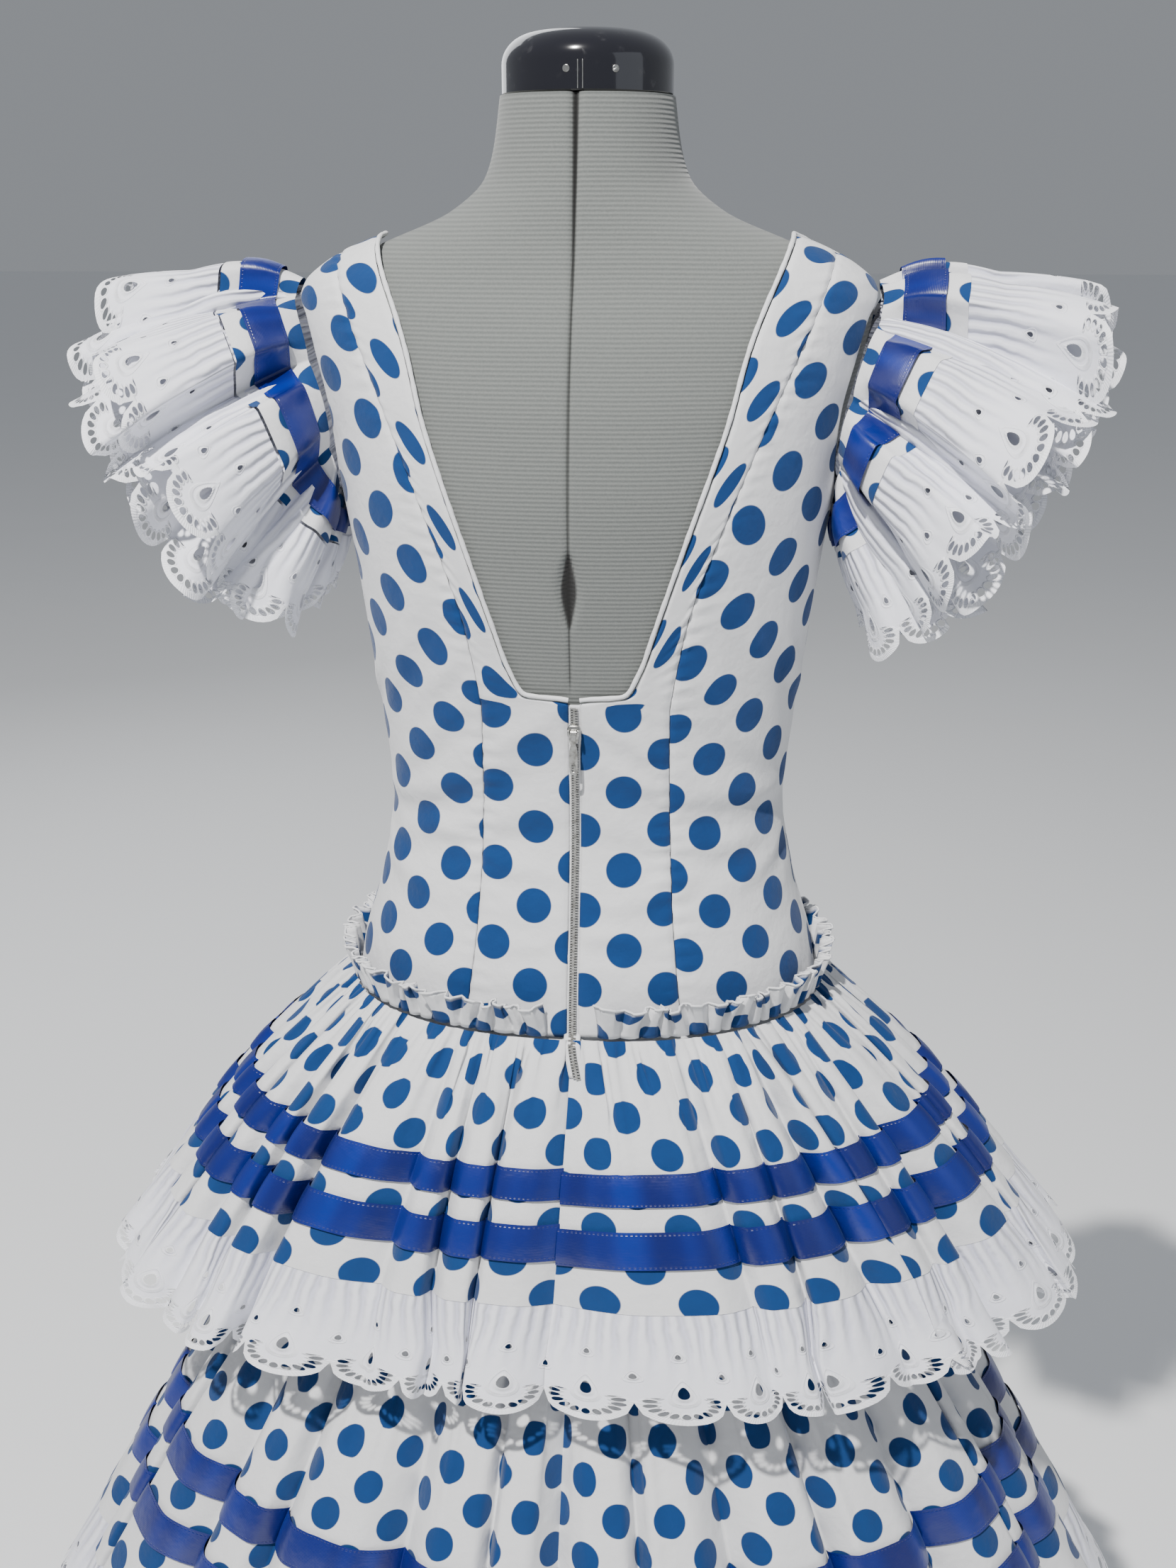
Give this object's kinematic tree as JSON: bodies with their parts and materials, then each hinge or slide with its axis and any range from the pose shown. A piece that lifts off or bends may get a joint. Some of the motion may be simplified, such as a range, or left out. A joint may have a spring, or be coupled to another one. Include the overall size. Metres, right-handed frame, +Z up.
{
  "type": "flamenco dress on a limbless dress form",
  "caption": "Dotted flamenco dress with gathered lace-edged tiers and ruffle sleeves, standing on a limbless dress form with a round base.",
  "frame": {"origin": "centre of the round base's underside, on the floor below the form's pole", "axes": "+Z up along the form; the wearer faces -Y, so the zip and open back are on +Y; +X is the wearer's left"},
  "size_m": [1.003, 0.7816, 1.46],
  "materials": {
    "jersey": "matte ribbed jersey",
    "black_gloss": "glossy",
    "steel": "polished",
    "dotted_cotton": "white plain weave with blue dots",
    "white_cotton": "plain weave",
    "blue_satin": "satin ribbon",
    "eyelet_lace": "embroidered cotton lawn"
  },
  "bodies": {
    "dress": {"form_torso": "jersey", "form_neck_cap": "black_gloss", "form_pole": "steel", "form_base": "black_gloss", "bodice_back_left": "dotted_cotton", "bodice_back_right": "dotted_cotton", "bodice_side_back_left": "dotted_cotton", "bodice_side_back_right": "dotted_cotton", "bodice_front": "dotted_cotton", "neck_piping": "white_cotton", "zip_chain": "steel", "zip_slider": "steel", "hip_frill": "dotted_cotton", "tier_1_flounce": "dotted_cotton", "tier_1_upper_ribbon": "blue_satin", "tier_1_lower_ribbon": "blue_satin", "tier_1_lace_left": "eyelet_lace", "tier_1_lace_right": "eyelet_lace", "tier_2_flounce": "dotted_cotton", "tier_2_upper_ribbon": "blue_satin", "tier_2_lower_ribbon": "blue_satin", "tier_2_lace_left": "eyelet_lace", "tier_2_lace_right": "eyelet_lace", "tier_3_flounce": "dotted_cotton", "tier_3_lace_left": "eyelet_lace", "tier_3_lace_right": "eyelet_lace", "skirt_upper_base": "white_cotton", "skirt_lower_base": "white_cotton", "sleeve_left_flounce": "dotted_cotton", "sleeve_left_ribbon": "blue_satin", "sleeve_left_lace_back": "eyelet_lace", "sleeve_left_lace_front": "eyelet_lace", "sleeve_left_under_lace_back": "eyelet_lace", "sleeve_left_under_lace_front": "eyelet_lace", "sleeve_right_flounce": "dotted_cotton", "sleeve_right_ribbon": "blue_satin", "sleeve_right_lace_back": "eyelet_lace", "sleeve_right_lace_front": "eyelet_lace", "sleeve_right_under_lace_back": "eyelet_lace", "sleeve_right_under_lace_front": "eyelet_lace"},
    "zip_pull": {"zip_pull": "steel"}
  },
  "joints": [
    {"name": "zip_pull_hinge", "type": "hinge", "parent": "dress", "child": "zip_pull", "pos_m": [0, 0.10073, 1.064], "axis": [1, 0, 0], "range_deg": [0, 140]}
  ]
}
